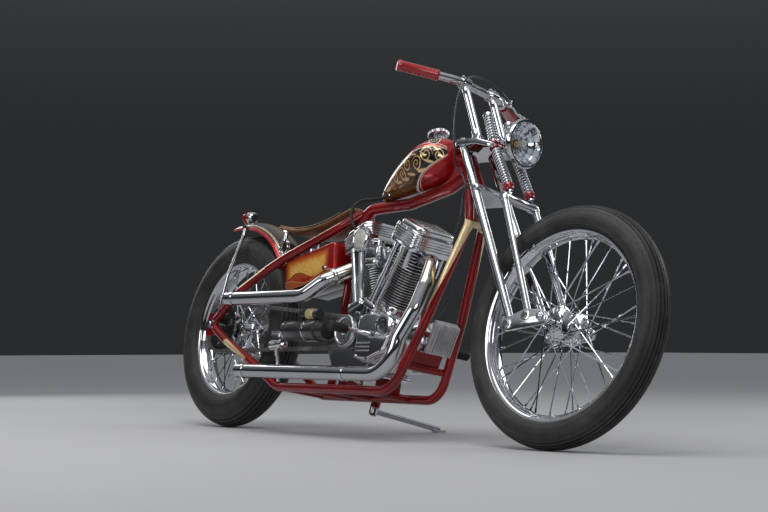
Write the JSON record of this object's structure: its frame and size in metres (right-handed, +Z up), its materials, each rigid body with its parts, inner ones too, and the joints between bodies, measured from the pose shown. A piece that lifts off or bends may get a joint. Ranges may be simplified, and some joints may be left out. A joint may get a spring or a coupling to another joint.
{
  "type": "chopper motorcycle",
  "caption": "Rigid-frame chopper with a springer fork, laced wheels and a V-twin engine, parked leaning on its side stand; steering, wheels and stand move.",
  "frame": {"origin": "on the floor, at the middle of the parked machine's length and width", "axes": "+X forward to the front wheel, +Y to the machine's left, +Z up from the floor it parks on"},
  "size_m": [2.3333, 0.6659, 1.1382],
  "materials": {
    "bare_steel": "satin",
    "black_metal": "gloss",
    "black_rubber": "matte",
    "candy_red": "candy gloss",
    "chrome": "polished",
    "fender_paint": "gloss",
    "fin_aluminium": "cast",
    "gold_leaf": "gloss",
    "grip_red": "gloss",
    "lamp_glass": "clear",
    "lamp_red": "gloss",
    "polished_aluminium": "polished",
    "tan_leather": "smooth",
    "tyre_rubber": "matte"
  },
  "bodies": {
    "frame": {"air_cover": "polished_aluminium", "brake_cylinder": "chrome", "cam_cover": "polished_aluminium", "carburettor": "polished_aluminium", "chain": "bare_steel", "clutch_cable_lower": "black_rubber", "crankcase": "polished_aluminium", "cylinder_front": "fin_aluminium", "cylinder_head_front": "fin_aluminium", "cylinder_head_rear": "fin_aluminium", "cylinder_rear": "fin_aluminium", "drive_sprocket": "bare_steel", "exhaust_front": "chrome", "exhaust_rear": "chrome", "fender_struts": "chrome", "foot_peg_left": "chrome", "foot_peg_right": "chrome", "frame_cradle_left": "candy_red", "frame_cradle_right": "candy_red", "frame_cross_members": "candy_red", "frame_spine": "candy_red", "frame_stays": "candy_red", "fuel_cap": "chrome", "fuel_tank": "candy_red", "oil_tank": "gold_leaf", "primary_cover": "polished_aluminium", "pushrod_tubes": "chrome", "rear_axle": "chrome", "rear_fender": "fender_paint", "regulator": "black_metal", "rocker_box_front": "polished_aluminium", "rocker_box_rear": "polished_aluminium", "seat": "tan_leather", "seat_springs": "chrome", "sprocket_cover": "polished_aluminium", "starter": "black_metal", "tail_light": "lamp_red"},
    "fork": {"fork_legs": "chrome", "fork_spring_legs": "chrome", "fork_springs": "chrome", "fork_rockers": "chrome", "front_axle": "chrome", "handlebar_risers": "chrome", "handlebar": "chrome", "grips": "grip_red", "headlight_shell": "chrome", "headlight_lens": "lamp_glass", "hand_lever": "chrome", "clutch_cable_upper": "black_rubber"},
    "front_wheel": {"front_tyre": "tyre_rubber", "front_rim": "chrome", "front_hub_and_spokes": "chrome"},
    "rear_wheel": {"rear_tyre": "tyre_rubber", "rear_rim": "chrome", "rear_hub_and_spokes": "chrome", "rear_sprocket": "bare_steel", "rear_brake_disc": "bare_steel"},
    "stand": {"side_stand": "chrome"}
  },
  "joints": [
    {"name": "steering", "type": "hinge", "parent": "frame", "child": "fork", "pos_m": [0.34609, 0.02137, 0.78745], "axis": [-0.5588, 0.1482, 0.816], "range_deg": [-30, 16]},
    {"name": "front_wheel_spin", "type": "hinge", "parent": "fork", "child": "front_wheel", "pos_m": [0.82393, -0.04299, 0.33584], "axis": [-0.1012, 0.9644, -0.2445], "continuous": true},
    {"name": "rear_wheel_spin", "type": "hinge", "parent": "frame", "child": "rear_wheel", "pos_m": [-0.83019, -0.06159, 0.33154], "axis": [-0.0001, 0.9839, -0.1788], "continuous": true},
    {"name": "stand_fold", "type": "hinge", "parent": "frame", "child": "stand", "pos_m": [-0.13032, 0.00121, 0.08396], "axis": [0.0005, 0.3628, 0.9319], "range_deg": [0, 85]}
  ]
}
